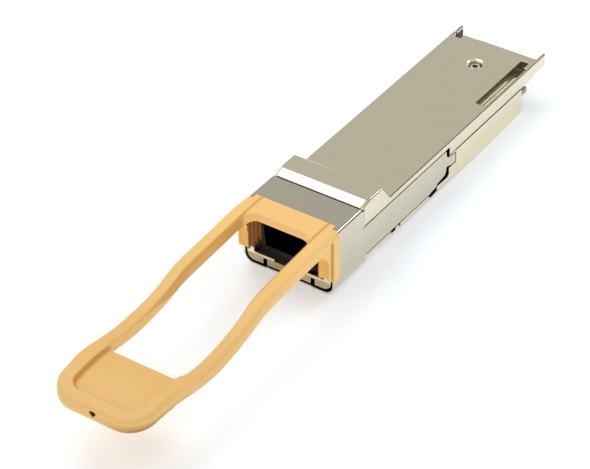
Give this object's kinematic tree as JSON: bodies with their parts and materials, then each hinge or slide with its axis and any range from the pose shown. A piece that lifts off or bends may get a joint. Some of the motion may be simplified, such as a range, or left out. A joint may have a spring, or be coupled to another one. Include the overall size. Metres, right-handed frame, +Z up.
{
  "type": "optical transceiver module",
  "caption": "Pluggable optical transceiver module with a two-part plated shell, a fibre port, a sheet-metal release slider and a moulded pull tab.",
  "frame": {"origin": "on the underside of the module body, in the middle of its width, at the plane where the body enters its cage", "axes": "+Y along the module towards the edge card, +Z up out of the top plate, +X across; the pull tab points along -Y"},
  "size_m": [0.0194, 0.1254, 0.0134],
  "materials": {
    "nickel_plate": "satin nickel plating on a die casting",
    "nickel_plate_lower": "satin nickel plating on a die casting",
    "sheet_steel": "brushed sheet",
    "tan_plastic": "moulded, satin",
    "black_plastic": "moulded",
    "ferrule_plastic": "moulded",
    "pin_steel": "polished",
    "clamp_steel": "stamped",
    "gasket_rubber": "conductive rubber",
    "ribbon_coat": "coated fibre",
    "lens_amber": "clear amber moulding",
    "die_gold": "bare die",
    "die_grey": "bare die",
    "board_green": "solder mask",
    "contact_gold": "gold plate",
    "chip_black": "moulded package",
    "thermal_pad_grey": "soft gap filler",
    "ferrite_grey": "ferrite",
    "crystal_can": "can",
    "capacitor_tan": "ceramic",
    "resistor_black": "ceramic",
    "screw_steel": "plated",
    "spring_steel": "drawn wire",
    "label_film": "blank film"
  },
  "bodies": {
    "module": {"upper_shell": "nickel_plate", "lower_shell": "nickel_plate_lower", "optical_port": "black_plastic", "mt_ferrule": "ferrule_plastic", "guide_pins": "pin_steel", "ferrule_clamp": "clamp_steel", "emi_gasket": "gasket_rubber", "fibre_ribbon": "ribbon_coat", "lens_block": "lens_amber", "laser_array": "die_gold", "photodiode_array": "die_grey", "circuit_board": "board_green", "contact_fingers_top": "contact_gold", "contact_fingers_bottom": "contact_gold", "laser_driver": "chip_black", "receiver_amplifier": "chip_black", "retimer_chips": "chip_black", "microcontroller": "chip_black", "thermal_pads": "thermal_pad_grey", "power_inductors": "ferrite_grey", "timing_crystal": "crystal_can", "capacitors": "capacitor_tan", "resistors": "resistor_black", "cover_screw": "screw_steel", "base_screws": "screw_steel", "return_spring_left": "spring_steel", "return_spring_right": "spring_steel", "id_label": "label_film"},
    "release": {"release_slider": "sheet_steel", "pull_tab": "tan_plastic"}
  },
  "joints": [
    {"name": "release_slide", "type": "slide", "parent": "module", "child": "release", "axis": [0, -1, 0], "range_m": [0, 0.0025], "stiffness_N_per_m": 1500, "springref_m": -0.0008, "deforming": ["return_spring_left", "return_spring_right"]}
  ]
}
